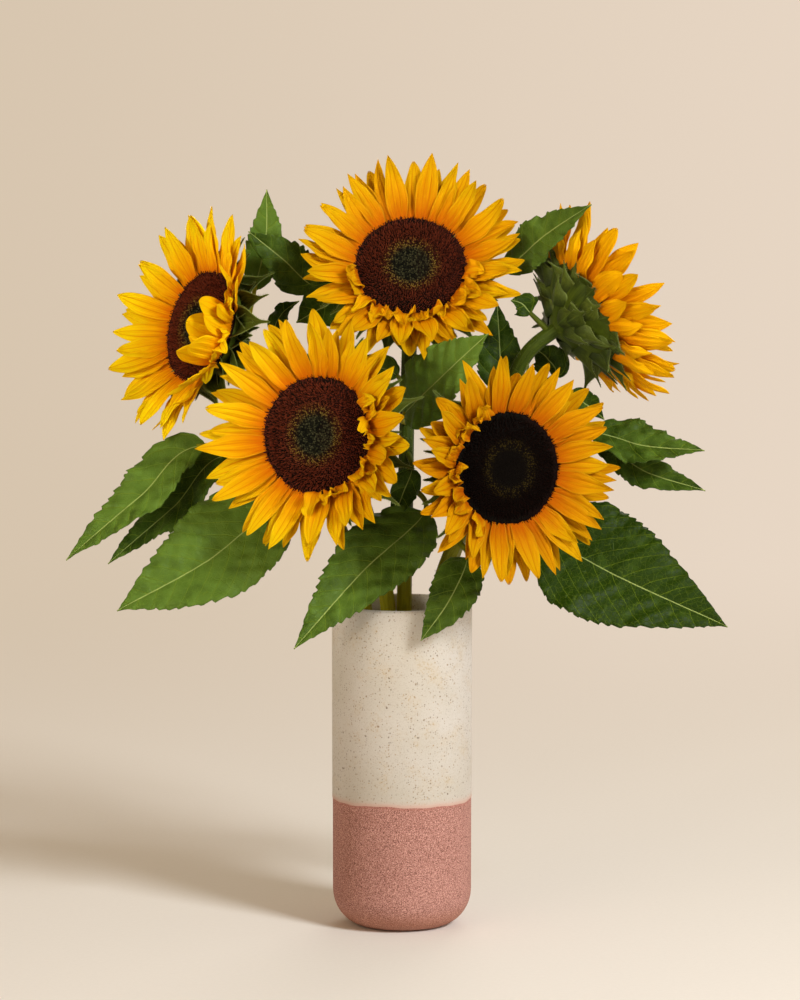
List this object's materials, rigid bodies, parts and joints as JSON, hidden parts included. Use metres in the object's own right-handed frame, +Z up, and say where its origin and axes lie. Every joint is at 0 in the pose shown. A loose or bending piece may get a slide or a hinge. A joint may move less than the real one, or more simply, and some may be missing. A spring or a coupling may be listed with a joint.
{
  "type": "sunflowers in a vase",
  "caption": "Cut sunflowers with leafy stems standing in water in a tall two-tone stoneware vase.",
  "frame": {"origin": "centre of the vase's flat foot, on the surface that it stands on", "axes": "+Z up along the vase, -Y towards the side that the bunch is arranged to be seen from, +X to the right seen from there"},
  "size_m": [0.466, 0.2281, 0.5506],
  "materials": {
    "stoneware": "satin",
    "water": "gloss",
    "greenery": "matte",
    "petal": "matte",
    "floret_disc": "matte"
  },
  "bodies": {
    "root": {"vase": "stoneware", "water": "water", "stem_1": "greenery", "petals_1": "petal", "disc_1": "floret_disc", "stem_2": "greenery", "petals_2": "petal", "disc_2": "floret_disc", "stem_3": "greenery", "petals_3": "petal", "disc_3": "floret_disc", "stem_4": "greenery", "petals_4": "petal", "disc_4": "floret_disc", "stem_5": "greenery", "petals_5": "petal", "disc_5": "floret_disc"}
  },
  "joints": []
}
